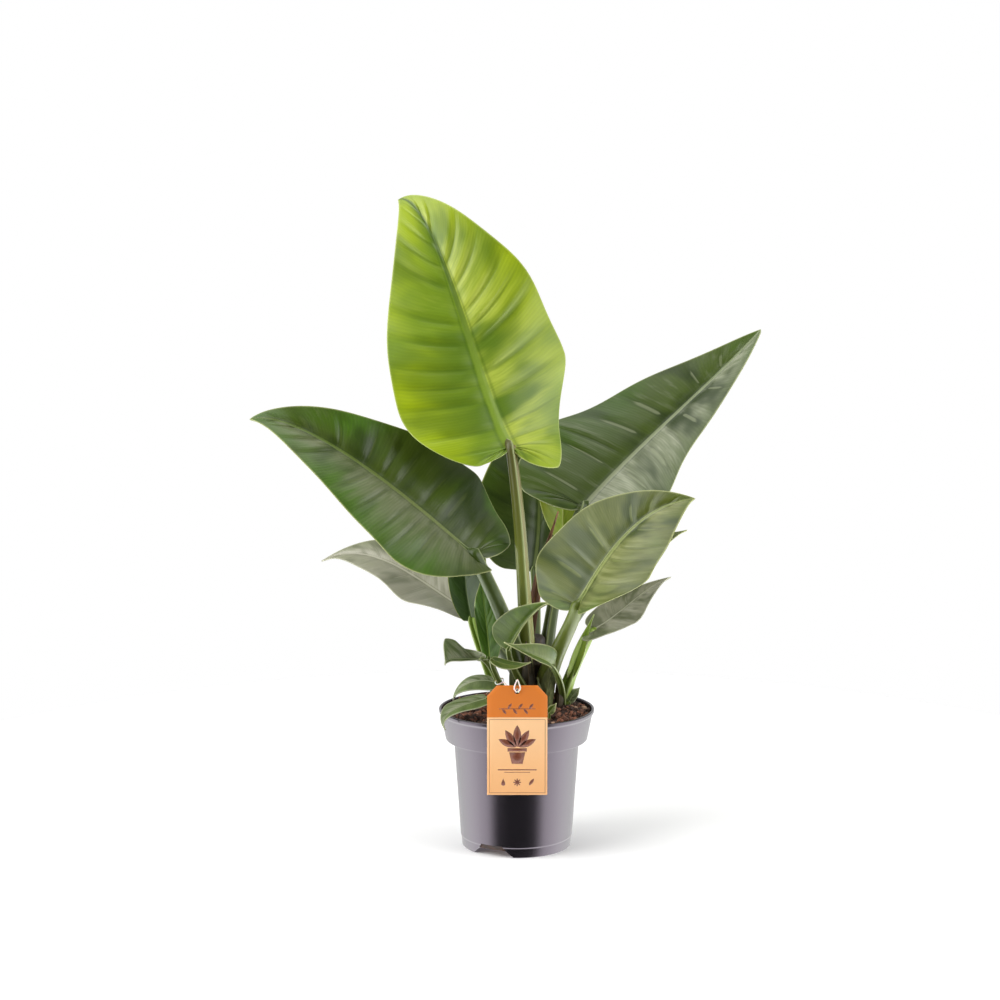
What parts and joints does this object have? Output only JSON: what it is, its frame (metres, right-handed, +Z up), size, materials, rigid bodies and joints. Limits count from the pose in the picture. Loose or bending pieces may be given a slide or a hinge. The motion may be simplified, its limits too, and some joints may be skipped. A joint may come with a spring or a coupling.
{
  "type": "potted imperial green philodendron",
  "caption": "Young broad-leaved aroid house plant with long channelled stalks, standing in soil in a dark tapered grower's pot with a rim band and a hanging care tag.",
  "frame": {"origin": "on the floor under the middle of the pot, at the centre of the pot's flat base pad", "axes": "+Z up, +X to the right of the plant's front, -Y the way the front and the care tag face"},
  "size_m": [0.508, 0.2944, 0.6266],
  "materials": {
    "pot": "satin",
    "soil": "rough",
    "bark": "rough",
    "blade_lime": "satin",
    "blade_dark": "satin",
    "blade_green": "satin",
    "blade_grey": "satin",
    "stalk": "satin",
    "dry_sheath": "rough",
    "tag": "satin",
    "tie": "clear"
  },
  "bodies": {
    "root": {"pot": "pot", "soil": "soil", "stem": "bark", "side_stem": "bark", "blade_tall": "blade_lime", "stalk_tall": "stalk", "blade_left": "blade_dark", "stalk_left": "stalk", "blade_right": "blade_dark", "stalk_right": "stalk", "blade_front": "blade_green", "stalk_front": "stalk", "blade_back": "blade_dark", "stalk_back": "stalk", "blade_lime": "blade_lime", "stalk_lime": "stalk", "blade_low_left": "blade_grey", "stalk_low_left": "stalk", "blade_low_right": "blade_grey", "stalk_low_right": "stalk", "blade_low_back": "blade_dark", "stalk_low_back": "stalk", "blade_shade": "blade_dark", "stalk_shade": "stalk", "blade_upright": "blade_green", "stalk_upright": "stalk", "young_leaf_1": "blade_green", "young_leaf_2": "blade_green", "young_leaf_3": "blade_green", "young_leaf_4": "blade_green", "young_leaf_5": "blade_green", "young_leaf_6": "blade_green", "young_leaf_7": "blade_green", "young_leaf_8": "blade_green", "dry_sheath": "dry_sheath", "tag": "tag", "tag_loop": "tie"}
  },
  "joints": []
}
